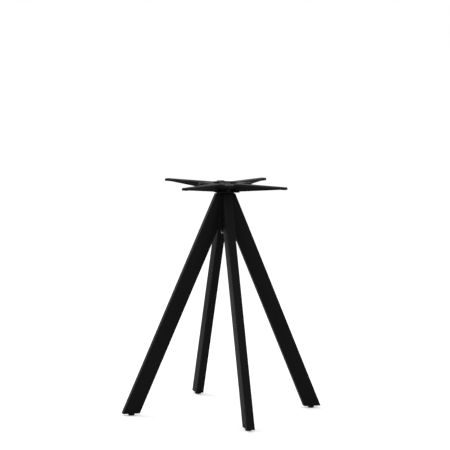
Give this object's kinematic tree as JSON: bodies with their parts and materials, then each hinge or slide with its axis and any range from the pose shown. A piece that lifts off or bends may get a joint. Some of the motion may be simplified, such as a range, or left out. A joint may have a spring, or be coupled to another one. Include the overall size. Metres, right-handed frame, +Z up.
{
  "type": "table base",
  "caption": "Table base of splayed rectangular steel tube legs round a short column, with a cast star of long and short arms for the table top and levelling feet.",
  "frame": {"origin": "on the floor, under the centre of the base", "axes": "+Z up to the table top, +X towards the right leg and +Y towards the rear leg, with the picture taken from the front"},
  "size_m": [0.6484, 0.6484, 0.726],
  "materials": {
    "powder_coat": "black powder coat, satin, finely textured",
    "coated_casting": "black powder coat over a sand casting, satin, slightly rough",
    "zinc": "bright zinc plating",
    "black_oxide": "blackened steel",
    "bare_steel": "turned steel, bare",
    "foot_plastic": "black moulded plastic, matt"
  },
  "bodies": {
    "frame": {"top_star": "coated_casting", "top_plate": "powder_coat", "column": "powder_coat", "column_end_plate": "powder_coat", "tie_bolt": "zinc", "tie_bolt_washer": "black_oxide", "tie_bolt_spring_washer": "black_oxide", "leg_right": "powder_coat", "leg_end_plate_right": "powder_coat", "leg_bush_right": "bare_steel", "leg_rear": "powder_coat", "leg_end_plate_rear": "powder_coat", "leg_bush_rear": "bare_steel", "leg_left": "powder_coat", "leg_end_plate_left": "powder_coat", "leg_bush_left": "bare_steel", "leg_front": "powder_coat", "leg_end_plate_front": "powder_coat", "leg_bush_front": "bare_steel"},
    "glide_right": {"glide_stud_right": "zinc", "glide_foot_right": "foot_plastic"},
    "glide_rear": {"glide_stud_rear": "zinc", "glide_foot_rear": "foot_plastic"},
    "glide_left": {"glide_stud_left": "zinc", "glide_foot_left": "foot_plastic"},
    "glide_front": {"glide_stud_front": "zinc", "glide_foot_front": "foot_plastic"}
  },
  "joints": [
    {"name": "glide_right_level", "type": "slide", "parent": "frame", "child": "glide_right", "axis": [0, 0, -1], "range_m": [0, 0.01]},
    {"name": "glide_rear_level", "type": "slide", "parent": "frame", "child": "glide_rear", "axis": [0, 0, -1], "range_m": [0, 0.01]},
    {"name": "glide_left_level", "type": "slide", "parent": "frame", "child": "glide_left", "axis": [0, 0, -1], "range_m": [0, 0.01]},
    {"name": "glide_front_level", "type": "slide", "parent": "frame", "child": "glide_front", "axis": [0, 0, -1], "range_m": [0, 0.01]}
  ]
}
